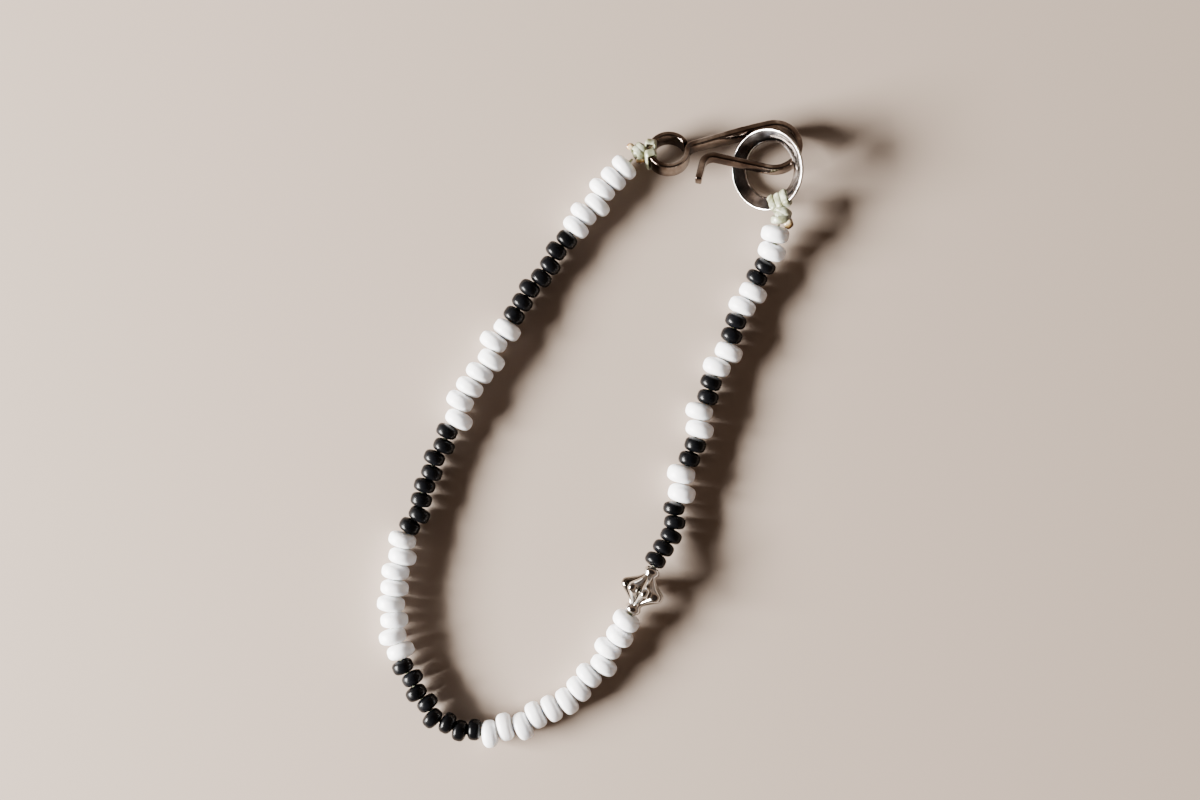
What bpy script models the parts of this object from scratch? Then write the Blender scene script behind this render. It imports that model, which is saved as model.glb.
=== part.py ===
# Beaded bracelet: one string of white and black glass beads with a silver star charm bead, closed by
# a silver strip hook and a silver ring. It lies closed on a table.
# The loop's length runs along X with the clasp at +X, Y runs across it and Z is up. The origin is
# the middle of the bracelet's box, on the table.

import math

import bmesh
import bpy
from mathutils import Matrix, Vector

MM = 0.001
UP = Vector((0.0, 0.0, 1.0))
CLEARANCE = 0.3 * MM

# Beads and thread
WHITE_DIAMETER = 4.05 * MM
WHITE_LENGTH = 2.52 * MM
BLACK_DIAMETER = 3.05 * MM
BLACK_LENGTH = 2.19 * MM
BEAD_GAP = 0.14 * MM
BEAD_SIDES = 10
THREAD_DIAMETER = 0.9 * MM

# Sections of a bead: shares of its length from its middle, and of its diameter
WHITE_SECTIONS = (
    # along  across
    (-0.50, 0.27),
    (-0.37, 0.43),
    (-0.12, 0.50),
    (0.12, 0.50),
    (0.37, 0.43),
    (0.50, 0.27),
)
BLACK_SECTIONS = (
    # along  across
    (-0.50, 0.28),
    (-0.30, 0.44),
    (0.00, 0.50),
    (0.30, 0.44),
    (0.50, 0.28),
)

# Each letter is a bead, and says how far it sits to the left (L, l), on (-) or to the right (r, R)
# of the string's line, seen in its running order from the hook to the ring. The spread opens or
# closes a run's spacing a little.
SIT_STEP = 0.28 * MM
SIT_STEPS = {"L": 2, "l": 1, "-": 0, "r": -1, "R": -2}
LONG_RUNS = (
    # bead    spread  sit
    ("white", 0.90, "--rLr-"),
    ("black", 1.04, "-rllr--"),
    ("white", 1.00, "lRL-rRL"),
    ("black", 0.99, "rlrl--l-"),
    ("white", 0.95, "rlr-rlrl"),
    ("black", 0.99, "rlrlRl-L"),
    ("white", 0.99, "-Lrl-r-lRlr-"),
)
SHORT_RUNS = (
    # bead    spread  sit
    ("black", 0.94, "l-r-l"),
    ("white", 1.09, "rL"),
    ("black", 1.02, "-r"),
    ("white", 1.01, "rL"),
    ("black", 1.01, "-l"),
    ("white", 1.06, "lR"),
    ("black", 1.02, "-l"),
    ("white", 0.99, "lr"),
    ("black", 0.93, "l-"),
    ("white", 1.01, "-l"),
)

# The string's route on the table, from the hook's knot to the ring's knot, in millimetres
ROUTE = (
    (31.2, 14.8),
    (19.1, 16.7),
    (8.9, 17.9),
    (-5.0, 18.5),
    (-18.9, 18.0),
    (-24.1, 16.8),
    (-29.2, 16.6),
    (-41.4, 11.8),
    (-49.3, 1.2),
    (-48.8, -6.7),
    (-42.8, -12.7),
    (-32.2, -17.3),
    (-10.2, -17.5),
    (-5.1, -16.3),
    (10.6, -13.0),
    (24.1, -11.5),
    (33.8, -11.2),
)
ROUTE_STEPS = 16
HOOK_END_BARE = 0.65 * MM
RING_END_BARE = 0.30 * MM
KNOT_REACH = 9.0 * MM
CHARM_REACH = 12.0 * MM

# Charm bead, a fluted star drawn in to a collar at each end
CHARM_DIAMETER = 6.75 * MM
CHARM_LENGTH = 6.95 * MM
CHARM_PETALS = 8
CHARM_COLLAR = 2.3 * MM
CHARM_GAP = 0.36 * MM
CHARM_BORE = THREAD_DIAMETER + 2 * CLEARANCE
CHARM_SECTIONS = (
    # share of half the length, then shares of tip and valley between the collar and the diameter
    (1.00, -0.09, -0.09),
    (0.92, 0.00, 0.00),
    (0.72, 0.00, 0.00),
    (0.62, -0.08, -0.08),
    (0.50, 0.06, -0.05),
    (0.31, 0.45, 0.02),
    (0.14, 0.97, 0.12),
)
CHARM_WAIST = (0.00, 1.00, 0.16)

# Hook, a strip bent on the flat. Its walk starts at the eye's free end.
EYE_RADIUS = 2.75 * MM
EYE_START = 22.0
EYE_TURN = 333.0
SHANK_LENGTH = 11.75 * MM
BEND_LENGTH = 13.2 * MM
ARM_LENGTH = 7.8 * MM
TIP_LENGTH = 5.5 * MM
STRIP_WIDTH = 3.3 * MM
STRIP_WALL = 0.9 * MM
HOOK_WALK = (
    # stretch, the size its length follows and its share, turn, then width and wall at its end as
    # shares of the strip's
    ("eye", EYE_RADIUS, math.radians(EYE_TURN), EYE_TURN, 0.818, 0.778),
    ("neck", EYE_RADIUS, 0.582, -73.0, 0.667, 1.0),
    ("shank", SHANK_LENGTH, 1.0, -4.0, 1.0, 0.889),
    ("wide bend", BEND_LENGTH, 0.53, -115.0, 0.697, 0.833),
    ("close bend", BEND_LENGTH, 0.47, -93.0, 0.545, 0.833),
    ("arm", ARM_LENGTH, 1.0, 0.0, 0.545, 0.833),
    ("tip curve", TIP_LENGTH, 0.473, 92.0, 0.545, 1.0),
    ("tip", TIP_LENGTH, 0.527, 0.0, 0.485, 1.0),
)
HOOK_STEP = 0.85 * MM
HOOK_EDGE = 0.12 * MM
HOOK_PLACE = (39.70 * MM, 9.00 * MM)
HOOK_HEADING = -57.2
HOOK_LEAN = 24.0

# Ring, a dished band: its top slopes down to the hole
RING_OUTER = 11.9 * MM
RING_INNER = 8.2 * MM
RING_DISH = 0.8 * MM
RING_EDGE = 0.6 * MM
RING_ROUND = 0.15 * MM
RING_STEPS = 40
RING_FROM_BEND = (-4.67 * MM, 3.07 * MM)
RING_HEADING = -62.0
RING_RAISE = 36.2
RING_ROLL = 7.0
RING_LIFT = 0.1 * MM

# Knots of the waxed cord. A lump's sizes are its half sizes out from the metal, along it and up
CORD_DIAMETER = 0.9 * MM
CORD_SIDES = 6
LOOP_SLACK = 0.06 * MM
LOOP_ROOM = CLEARANCE + LOOP_SLACK
WRAP_PITCH = 1.15 * MM
WRAP_COUNT = 3
RING_WRAP_ANGLE = -73.0
RING_LUMP_INSET = 0.125 * MM
RING_LUMP = (0.65 * MM, WRAP_COUNT * WRAP_PITCH / 2 - RING_LUMP_INSET, 1.0 * MM)
RING_LUMP_ANGLE = -76.0
RING_LUMP_OUT = 0.93 * MM
RING_LUMP_DROP = 0.53 * MM
HOOK_LUMP = (0.9 * MM, 1.3 * MM, 1.1 * MM)
HOOK_LUMP_ANGLE = 169.0
HOOK_LUMP_OUT = 1.6 * MM

# Strands through the hook's eye: where they go round it, and their slant, in degrees
HOOK_STRANDS = (
    (165.0, 20.0),
    (193.0, 0.0),
)

# Melted ends: how far along, across and above the lump's middle, as shares of its half sizes, and
# their radius as a share of the cord's diameter
RING_ENDS = (
    (-0.08, -1.25, 0.10, 0.644),
)
HOOK_ENDS = (
    (-0.944, -0.477, 0.455, 0.611),
    (-0.489, 1.246, 0.00, 0.611),
)


def clear_scene():
    for obj in list(bpy.data.objects):
        bpy.data.objects.remove(obj, do_unlink=True)


def make_material(name, colour, roughness, metallic):
    material = bpy.data.materials.new(name)
    material.use_nodes = True
    shader = material.node_tree.nodes["Principled BSDF"]
    shader.inputs["Base Color"].default_value = (*colour, 1.0)
    shader.inputs["Roughness"].default_value = roughness
    shader.inputs["Metallic"].default_value = metallic
    material.diffuse_color = (*colour, 1.0)
    return material


def add_object(bm, name, materials, smooth_angle=40.0):
    bmesh.ops.recalc_face_normals(bm, faces=bm.faces)
    mesh = bpy.data.meshes.new(name)
    bm.to_mesh(mesh)
    bm.free()
    mesh.shade_smooth()
    mesh.set_sharp_from_angle(angle=math.radians(smooth_angle))
    for material in materials:
        mesh.materials.append(material)
    obj = bpy.data.objects.new(name, mesh)
    bpy.context.scene.collection.objects.link(obj)
    return obj


# Lofts: rings of edges laid along a way and bridged one to the next


def add_ring(bm, place, radius, sides):
    verts = bmesh.ops.create_circle(bm, segments=sides, radius=radius, matrix=place)["verts"]
    return list({edge for vert in verts for edge in vert.link_edges})


def bridge_rings(bm, rings, closed=False, slot=None):
    pairs = list(zip(rings, rings[1:]))
    if closed:
        pairs.append((rings[-1], rings[0]))
    for index, (near, far) in enumerate(pairs):
        faces = bmesh.ops.bridge_loops(bm, edges=near + far)["faces"]
        for face in faces:
            face.material_index = slot[index] if slot else 0
    if not closed:
        for end in (rings[0], rings[-1]):
            bmesh.ops.contextual_create(bm, geom=end)


def place_along(point, direction):
    # A ring's frame: Z along the way, and Y as near to up as it can be
    forward = direction.normalized()
    left = UP.cross(forward).normalized()
    above = forward.cross(left)
    frame = Matrix((left, above, forward)).transposed().to_4x4()
    return Matrix.Translation(point) @ frame


def flat_below(sides):
    # Turns a many-sided ring so that one of its flat sides is underneath
    return Matrix.Rotation(math.pi / sides, 4, "Z")


# The clasp's two metal pieces


def eye_strip():
    # The strip's width and wall all round the eye
    return HOOK_WALK[0][4] * STRIP_WIDTH, HOOK_WALK[0][5] * STRIP_WALL


def strip_stations():
    # Middle, heading, width, wall and stretch of the hook's strip at each step, in its own flat plane
    start = math.radians(EYE_START)
    x = EYE_RADIUS * math.cos(start)
    y = EYE_RADIUS * math.sin(start)
    heading = start + math.pi / 2
    width, wall = eye_strip()
    stations = [(x, y, heading, width, wall, "eye")]
    for stretch, size, share, turn, end_width, end_wall in HOOK_WALK:
        steps = max(2, round(size * share / HOOK_STEP))
        run = size * share / steps
        bend = math.radians(turn) / steps
        first_width, first_wall = width, wall
        for step in range(1, steps + 1):
            x += run * math.cos(heading + bend / 2)
            y += run * math.sin(heading + bend / 2)
            heading += bend
            width = first_width + (end_width * STRIP_WIDTH - first_width) * step / steps
            wall = first_wall + (end_wall * STRIP_WALL - first_wall) * step / steps
            stations.append((x, y, heading, width, wall, stretch))
    return stations


def hook_place():
    # The hook stands on its strip's lower edge, leaned over about its length
    turn = Matrix.Rotation(math.radians(HOOK_HEADING), 4, "Z")
    lean = Matrix.Rotation(math.radians(-HOOK_LEAN), 4, "X")
    frame = turn @ lean
    lowest = 0.0
    for x, y, heading, width, wall, _ in strip_stations():
        aside = wall / 2 * Vector((-math.sin(heading), math.cos(heading), 0.0))
        edge = Vector((x, y, -width / 2))
        lowest = min(lowest, (frame @ (edge + aside)).z, (frame @ (edge - aside)).z)
    return Matrix.Translation((*HOOK_PLACE, -lowest)) @ frame


def make_hook(material):
    bm = bmesh.new()
    place = hook_place()
    rings = []
    for x, y, heading, width, wall, _ in strip_stations():
        # A four-sided circle turned by an eighth is a square of side one
        section = Matrix.Diagonal((wall, width, 1.0, 1.0)) @ Matrix.Rotation(math.pi / 4, 4, "Z")
        facing = Matrix.Rotation(heading + math.pi / 2, 4, "Z") @ Matrix.Rotation(math.pi / 2, 4, "X")
        rings.append(add_ring(bm, place @ Matrix.Translation((x, y, 0)) @ facing @ section, math.sqrt(0.5), 4))
    bridge_rings(bm, rings)
    bmesh.ops.recalc_face_normals(bm, faces=bm.faces)
    corners = [edge for edge in bm.edges if edge.calc_face_angle() > math.radians(60)]
    bmesh.ops.bevel(bm, geom=corners, offset=HOOK_EDGE, segments=1, profile=0.5, affect="EDGES", material=-1)
    return add_object(bm, "hook", [material])


def ring_place():
    # The ring hangs on the hook's bend. It rests on its low side, and its far side is raised over it.
    turn = Matrix.Rotation(math.radians(RING_HEADING), 4, "Z")
    raised = Matrix.Rotation(math.radians(-RING_RAISE), 4, "Y")
    roll = Matrix.Rotation(math.radians(RING_ROLL), 4, "X")
    frame = turn @ raised @ roll
    corners = (Vector((RING_OUTER / 2, -RING_EDGE)), Vector((RING_INNER / 2, -RING_EDGE - RING_DISH)))
    tilt = math.acos(min(1.0, (frame @ UP).z))
    lowest = min(z * math.cos(tilt) - radius * math.sin(tilt) for radius, z in corners)
    bend = [(x, y) for x, y, _, _, _, stretch in strip_stations() if stretch == "wide bend"]
    spot = hook_place() @ Vector((*bend[-1], 0.0))
    x, y = spot.x + RING_FROM_BEND[0], spot.y + RING_FROM_BEND[1]
    return Matrix.Translation((x, y, RING_LIFT - lowest)) @ frame


def make_ring(material):
    bm = bmesh.new()
    outer = RING_OUTER / 2
    inner = RING_INNER / 2
    half = RING_ROUND
    profile = (
        (outer - half, 0.0),
        (outer, -half),
        (outer, half - RING_EDGE),
        (outer - half, -RING_EDGE),
        (inner + half, -RING_DISH - RING_EDGE),
        (inner, half - RING_DISH - RING_EDGE),
        (inner, -RING_DISH - half),
        (inner + half, -RING_DISH),
    )
    verts = [bm.verts.new((radius, 0.0, z)) for radius, z in profile]
    edges = [bm.edges.new((verts[i - 1], verts[i])) for i in range(len(verts))]
    bmesh.ops.spin(bm, geom=verts + edges, cent=(0, 0, 0), axis=UP, angle=math.tau, steps=RING_STEPS,
                   use_merge=True, use_duplicate=False)
    bmesh.ops.transform(bm, matrix=ring_place(), verts=bm.verts)
    return add_object(bm, "ring", [material])


# Knots: loops of cord round the metal, joined by the knot's lump, with melted ends


def loop_stations(half_width, half_height, corner):
    # Middle and heading of a closed way round a rounded rectangle, three to a corner
    stations = []
    for quarter, (sx, sy) in enumerate(((1, 1), (-1, 1), (-1, -1), (1, -1))):
        centre = Vector((sx * (half_width - corner), sy * (half_height - corner)))
        for step in (0.0, 0.5, 1.0):
            angle = math.radians(90 * (quarter + step))
            point = centre + corner * Vector((math.cos(angle), math.sin(angle)))
            stations.append((point.x, point.y, angle + math.pi / 2))
    return stations


def add_cord_loop(bm, place, half_width, half_height):
    # The cord runs round the metal in the XY plane of its place
    reach = LOOP_ROOM + CORD_DIAMETER / 2
    rings = []
    for x, y, heading in loop_stations(half_width + reach, half_height + reach, reach):
        facing = Matrix.Rotation(heading + math.pi / 2, 4, "Z") @ Matrix.Rotation(math.pi / 2, 4, "X")
        rings.append(add_ring(bm, place @ Matrix.Translation((x, y, 0)) @ facing, CORD_DIAMETER / 2, CORD_SIDES))
    bridge_rings(bm, rings, closed=True)


def add_lump(name, place, sizes):
    bm = bmesh.new()
    bmesh.ops.create_icosphere(bm, subdivisions=2, radius=1.0)
    bmesh.ops.transform(bm, matrix=place @ Matrix.Diagonal((*sizes, 1.0)), verts=bm.verts)
    guide = add_object(bm, name, [])
    guide.hide_render = True
    guide.display_type = "WIRE"
    return guide


def lump_guides(name, lump, heading, sizes, ends):
    # The knot's lump, and stubs of cord from inside it to their melted ends
    facing = Matrix.Translation(lump) @ Matrix.Rotation(math.radians(heading), 4, "Z")
    guides = [add_lump(name + "_lump_guide", facing, sizes)]
    for number, (along, across, above, thickness) in enumerate(ends, 1):
        offset = Vector((along * sizes[0], across * sizes[1], above * sizes[2]))
        radius = thickness * CORD_DIAMETER
        place = Matrix.Translation(lump + offset * 0.6) @ offset.to_track_quat("Z", "Y").to_matrix().to_4x4()
        guides.append(add_lump(f"{name}_end_guide_{number}", place, (radius, radius, offset.length * 0.4 + radius)))
    return guides


def join_knot(loops, guides):
    for guide in guides:
        union = loops.modifiers.new(guide.name, "BOOLEAN")
        union.operation = "UNION"
        union.solver = "EXACT"
        union.object = guide
    return loops


def ring_lump_point():
    angle = math.radians(RING_LUMP_ANGLE)
    radius = RING_OUTER / 2 + RING_LUMP_OUT
    return ring_place() @ Vector((radius * math.cos(angle), radius * math.sin(angle), -RING_EDGE / 2 - RING_LUMP_DROP))


def make_knot_at_ring(material):
    bm = bmesh.new()
    middle = (RING_OUTER + RING_INNER) / 4
    width = (RING_OUTER - RING_INNER) / 2
    slope = math.atan2(RING_DISH, width)
    to_middle = ring_place() @ Matrix.Rotation(math.radians(RING_WRAP_ANGLE), 4, "Z")
    lay = Matrix.Rotation(math.pi / 2, 4, "X") @ Matrix.Rotation(slope, 4, "Z")
    half_width = (width / math.cos(slope) + RING_EDGE * math.sin(slope)) / 2
    half_height = RING_EDGE * math.cos(slope) / 2
    for wrap in range(WRAP_COUNT):
        aside = (wrap - (WRAP_COUNT - 1) / 2) * WRAP_PITCH
        inward = middle - math.sqrt(middle ** 2 - aside ** 2)
        place = to_middle @ Matrix.Translation((middle - inward, aside, -(RING_DISH + RING_EDGE) / 2)) @ lay
        add_cord_loop(bm, place, half_width, half_height)
    loops = add_object(bm, "knot_at_ring", [material])
    guides = lump_guides("ring", ring_lump_point(), RING_HEADING + RING_LUMP_ANGLE, RING_LUMP, RING_ENDS)
    return join_knot(loops, guides)


def hook_lump_point():
    angle = math.radians(HOOK_LUMP_ANGLE)
    radius = EYE_RADIUS + HOOK_LUMP_OUT
    return hook_place() @ Vector((radius * math.cos(angle), radius * math.sin(angle), 0.0))


def make_knot_at_hook(material):
    bm = bmesh.new()
    width, wall = eye_strip()
    lay = Matrix.Rotation(math.pi / 2, 4, "X")
    for degrees, slant in HOOK_STRANDS:
        round_eye = hook_place() @ Matrix.Rotation(math.radians(degrees), 4, "Z")
        slanted = Matrix.Translation((EYE_RADIUS, 0, 0)) @ Matrix.Rotation(math.radians(slant), 4, "X") @ lay
        add_cord_loop(bm, round_eye @ slanted, wall / 2, width / 2 / math.cos(math.radians(slant)))
    loops = add_object(bm, "knot_at_hook", [material])
    guides = lump_guides("hook", hook_lump_point(), HOOK_HEADING + HOOK_LUMP_ANGLE, HOOK_LUMP, HOOK_ENDS)
    return join_knot(loops, guides)


# The string: its route, the beads' places on it, and its two solids


def smooth_route(points):
    # Catmull-Rom curve through the points
    padded = [2 * points[0] - points[1], *points, 2 * points[-1] - points[-2]]
    line = []
    for before, here, there, after in zip(padded, padded[1:], padded[2:], padded[3:]):
        for step in range(ROUTE_STEPS):
            t = step / ROUTE_STEPS
            line.append(0.5 * (2 * here + (there - before) * t
                               + (2 * before - 5 * here + 4 * there - after) * t ** 2
                               + (3 * here - before - 3 * there + after) * t ** 3))
    line.append(points[-1])
    return line


def lengths_along(line):
    lengths = [0.0]
    for near, far in zip(line, line[1:]):
        lengths.append(lengths[-1] + (far - near).length)
    return lengths


def thread_end(lump, sizes, towards):
    # Where the thread starts, a little off the knot's lump
    way = Vector((towards.x - lump.x, towards.y - lump.y, 0.0)).normalized()
    return lump + way * ((sizes[0] + sizes[1]) / 2 + LOOP_ROOM)


def string_route(length):
    # The route grows about the clasp until it is as long as what is strung on it
    inner = [Vector((x * MM, y * MM, 0.0)) for x, y in ROUTE]
    start = thread_end(hook_lump_point(), HOOK_LUMP, inner[0])
    end = thread_end(ring_lump_point(), RING_LUMP, inner[-1])
    start.z = end.z = 0.0
    anchor = (start + end) / 2
    low, high = 0.5, 2.0
    for _ in range(40):
        growth = (low + high) / 2
        line = smooth_route([start, *(anchor + (point - anchor) * growth for point in inner), end])
        if lengths_along(line)[-1] < length:
            low = growth
        else:
            high = growth
    return line


def bead_length(kind, spread):
    return {"white": WHITE_LENGTH, "black": BLACK_LENGTH}[kind] * spread


def lay_beads(runs, start):
    # Kind, middle along the string, length and sideways step of each bead in these runs
    beads = []
    for kind, spread, sit in runs:
        length = bead_length(kind, spread)
        for letter in sit:
            beads.append((kind, start + length / 2, length, SIT_STEPS[letter] * SIT_STEP))
            start += length
    return beads, start


def held_up(distance, reach):
    # How much of a lift is left at this distance from where the string is held up
    share = min(1.0, abs(distance) / reach)
    return (1 - share ** 2) ** 2


class StringWay:
    """The string's line in space: its route on the table and its height above it."""

    def __init__(self):
        self.long_beads, self.charm_start = lay_beads(LONG_RUNS, HOOK_END_BARE)
        self.charm_end = self.charm_start + CHARM_LENGTH + 2 * CHARM_GAP
        self.short_beads, beads_end = lay_beads(SHORT_RUNS, self.charm_end)
        self.total = beads_end + RING_END_BARE
        self.line = string_route(self.total)
        self.lengths = lengths_along(self.line)

    def height(self, s):
        rest = WHITE_DIAMETER / 2
        charm_middle = (self.charm_start + self.charm_end) / 2
        charm_half = CHARM_LENGTH / 2
        charm_rest = CHARM_DIAMETER / 2
        charm_lift = (charm_rest - rest) / held_up(charm_half, CHARM_REACH)
        lifts = (
            (0.0, hook_lump_point().z - rest, KNOT_REACH),
            (charm_middle, charm_lift, CHARM_REACH),
            (self.total, ring_lump_point().z - rest, KNOT_REACH),
        )
        return rest + sum(lift * held_up(s - middle, reach) for middle, lift, reach in lifts)

    def point(self, s):
        share = min(max(s, 0.0), self.lengths[-1])
        index = next((i for i, far in enumerate(self.lengths[1:]) if far >= share), len(self.line) - 2)
        stretch = self.lengths[index + 1] - self.lengths[index]
        spot = self.line[index].lerp(self.line[index + 1], (share - self.lengths[index]) / stretch)
        return Vector((spot.x, spot.y, self.height(s)))

    def direction(self, s):
        reach = WHITE_LENGTH / 2
        return (self.point(s + reach) - self.point(s - reach)).normalized()

    def place(self, s, sideways=0.0):
        direction = self.direction(s)
        left = UP.cross(direction).normalized()
        return place_along(self.point(s) + left * sideways, direction) @ flat_below(BEAD_SIDES)


def add_beads(bm, way, beads):
    # Rings of the beads and of the thread between them, with a material slot for each stretch
    rings = []
    slots = []
    across_flats = math.cos(math.pi / BEAD_SIDES)
    for index, (kind, middle, length, sideways) in enumerate(beads):
        sections = {"white": WHITE_SECTIONS, "black": BLACK_SECTIONS}[kind]
        diameter = {"white": WHITE_DIAMETER, "black": BLACK_DIAMETER}[kind]
        slot = {"white": 0, "black": 1}[kind]
        for along, across in sections:
            s = middle + along * (length - BEAD_GAP)
            rings.append(add_ring(bm, way.place(s, sideways), across * diameter / across_flats, BEAD_SIDES))
            slots.append(slot)
        if index + 1 < len(beads):
            between = (sideways + beads[index + 1][3]) / 2
            place = way.place(middle + length / 2, between)
            rings.append(add_ring(bm, place, THREAD_DIAMETER / 2, BEAD_SIDES))
            slots.append({"white": 0, "black": 1}[beads[index + 1][0]])
    return rings, slots


def charm_axis(way):
    # Both ends of the thread's straight stretch through the charm
    near = way.point(way.charm_start + CHARM_GAP)
    far = way.point(way.charm_end - CHARM_GAP)
    return near, far


def thread_ring(bm, point, direction):
    place = place_along(point, direction) @ flat_below(BEAD_SIDES)
    return add_ring(bm, place, THREAD_DIAMETER / 2, BEAD_SIDES)


def make_long_string(way, materials):
    # Its thread runs on through the charm
    bm = bmesh.new()
    rings, slots = add_beads(bm, way, way.long_beads)
    near, far = charm_axis(way)
    axis = (far - near).normalized()
    start = thread_ring(bm, way.point(0.0), way.direction(0.0))
    through = thread_ring(bm, near - axis * CHARM_GAP / 2, axis)
    end = thread_ring(bm, far - axis * CLEARANCE / 2, axis)
    bridge_rings(bm, [start, *rings, through, end], slot=[2, *slots[:-1], 2, 2])
    return add_object(bm, "bead_string_long", materials)


def make_short_string(way, materials):
    bm = bmesh.new()
    rings, slots = add_beads(bm, way, way.short_beads)
    near, far = charm_axis(way)
    axis = (far - near).normalized()
    start = thread_ring(bm, far + axis * CLEARANCE / 2, axis)
    end = thread_ring(bm, way.point(way.total), way.direction(way.total))
    bridge_rings(bm, [start, *rings, end], slot=[2, *slots[:-1], 2])
    return add_object(bm, "bead_string_short", materials)


def add_star_ring(bm, place, tip, valley):
    edges = add_ring(bm, Matrix.Identity(4), tip, 2 * CHARM_PETALS)
    verts = {vert for edge in edges for vert in edge.verts}
    for vert in verts:
        step = round(math.atan2(vert.co.y, vert.co.x) / math.pi * CHARM_PETALS)
        if step % 2:
            vert.co *= valley / tip
    bmesh.ops.transform(bm, matrix=place, verts=list(verts))
    return edges


def make_charm(way, material):
    bm = bmesh.new()
    near, far = charm_axis(way)
    middle = (near + far) / 2
    axis = (far - near).normalized()
    collar = CHARM_COLLAR / 2
    reach = CHARM_DIAMETER / 2 - collar
    sections = [(-along, tip, valley) for along, tip, valley in CHARM_SECTIONS]
    sections.append(CHARM_WAIST)
    sections += [(along, tip, valley) for along, tip, valley in reversed(CHARM_SECTIONS)]
    rings = []
    for along, tip, valley in sections:
        place = place_along(middle + axis * along * CHARM_LENGTH / 2, axis)
        rings.append(add_star_ring(bm, place, collar + tip * reach, collar + valley * reach))
    for along in (0.98, -0.98):
        place = place_along(middle + axis * along * CHARM_LENGTH / 2, axis)
        rings.append(add_star_ring(bm, place, CHARM_BORE / 2, CHARM_BORE / 2))
    bridge_rings(bm, rings, closed=True)
    return add_object(bm, "charm_bead", [material])


def stand_on_origin(pieces):
    # Moves the whole bracelet so that the middle of its box, on the table, is the origin
    bpy.context.view_layer.update()
    corners = []
    graph = bpy.context.evaluated_depsgraph_get()
    for piece in pieces:
        mesh = piece.evaluated_get(graph).to_mesh()
        corners += [piece.matrix_world @ vert.co for vert in mesh.vertices]
    low = Vector([min(corner[axis] for corner in corners) for axis in range(3)])
    high = Vector([max(corner[axis] for corner in corners) for axis in range(3)])
    shift = -Vector(((low.x + high.x) / 2, (low.y + high.y) / 2, low.z))
    for obj in bpy.data.objects:
        obj.location = shift
    print("moved to the origin by", [round(value / MM, 3) for value in shift])
    print("box in millimetres", [round(value / MM, 2) for value in high - low])


def main():
    clear_scene()
    white = make_material("white_glass", (0.86, 0.86, 0.84), 0.45, 0.0)
    black = make_material("black_glass", (0.012, 0.012, 0.014), 0.25, 0.0)
    cord = make_material("waxed_cord", (0.62, 0.62, 0.52), 0.55, 0.0)
    silver = make_material("polished_silver", (0.80, 0.79, 0.78), 0.12, 1.0)
    way = StringWay()
    pieces = [
        make_long_string(way, [white, black, cord]),
        make_short_string(way, [white, black, cord]),
        make_charm(way, silver),
        make_hook(silver),
        make_ring(silver),
        make_knot_at_hook(cord),
        make_knot_at_ring(cord),
    ]
    stand_on_origin(pieces)


main()
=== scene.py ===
# Beaded bracelet with a star charm bead, closed by a silver hook and ring.
import math
import random

import bmesh
import bpy
from mathutils import Matrix, Vector


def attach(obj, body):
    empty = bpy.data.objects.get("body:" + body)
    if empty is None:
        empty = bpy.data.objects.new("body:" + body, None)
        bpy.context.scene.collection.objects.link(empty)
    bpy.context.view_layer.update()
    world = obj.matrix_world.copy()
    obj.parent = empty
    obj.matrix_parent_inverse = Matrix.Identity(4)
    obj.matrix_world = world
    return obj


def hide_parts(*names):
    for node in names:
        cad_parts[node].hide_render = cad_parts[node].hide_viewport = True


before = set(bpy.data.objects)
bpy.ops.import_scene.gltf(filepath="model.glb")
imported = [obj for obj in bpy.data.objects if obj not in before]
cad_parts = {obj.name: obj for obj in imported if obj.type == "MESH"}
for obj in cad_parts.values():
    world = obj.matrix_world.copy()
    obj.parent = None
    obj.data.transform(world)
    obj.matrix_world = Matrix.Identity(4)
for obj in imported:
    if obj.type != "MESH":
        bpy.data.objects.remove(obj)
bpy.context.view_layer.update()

mm = 0.001
up = Vector((0.0, 0.0, 1.0))
chance = random.Random(11)
print("frame loaded:", ", ".join(sorted(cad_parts)))


def picture(x, y, z=0.0):
    # a direction given in the picture's right, up and towards the camera
    turn = math.radians(28.0)
    right = Vector((math.sin(turn), -math.cos(turn), 0.0))
    above = Vector((math.cos(turn), math.sin(turn), 0.0))
    return right * x + above * y + up * z


# making a mesh

def addRing(bm, place, radius, sides):
    verts = bmesh.ops.create_circle(bm, segments=sides, radius=radius, matrix=place)["verts"]
    return list({edge for vert in verts for edge in vert.link_edges})


def bridgeRings(bm, rings, closed=False):
    pairs = list(zip(rings, rings[1:]))
    if closed:
        pairs.append((rings[-1], rings[0]))
    for near, far in pairs:
        bmesh.ops.bridge_loops(bm, edges=near + far)
    if not closed:
        for end in (rings[0], rings[-1]):
            bmesh.ops.contextual_create(bm, geom=end)


def placeAlong(point, direction):
    # Z runs along the way, Y is as near to up as it can be
    forward = direction.normalized()
    left = up.cross(forward)
    if left.length < 0.05:
        left = Vector((0.0, 1.0, 0.0)).cross(forward)
    left.normalize()
    above = forward.cross(left)
    turned = Matrix((left, above, forward)).transposed().to_4x4()
    return Matrix.Translation(point) @ turned


def curvePoints(points, steps):
    # a smooth curve through the points
    guides = [2 * points[0] - points[1], *points, 2 * points[-1] - points[-2]]
    line = []
    for index in range(len(points) - 1):
        before, here, there, after = guides[index:index + 4]
        for step in range(steps):
            t = step / steps
            line.append(0.5 * (2 * here + (there - before) * t
                               + (2 * before - 5 * here + 4 * there - after) * t ** 2
                               + (3 * here - before - 3 * there + after) * t ** 3))
    line.append(points[-1])
    return line


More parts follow.
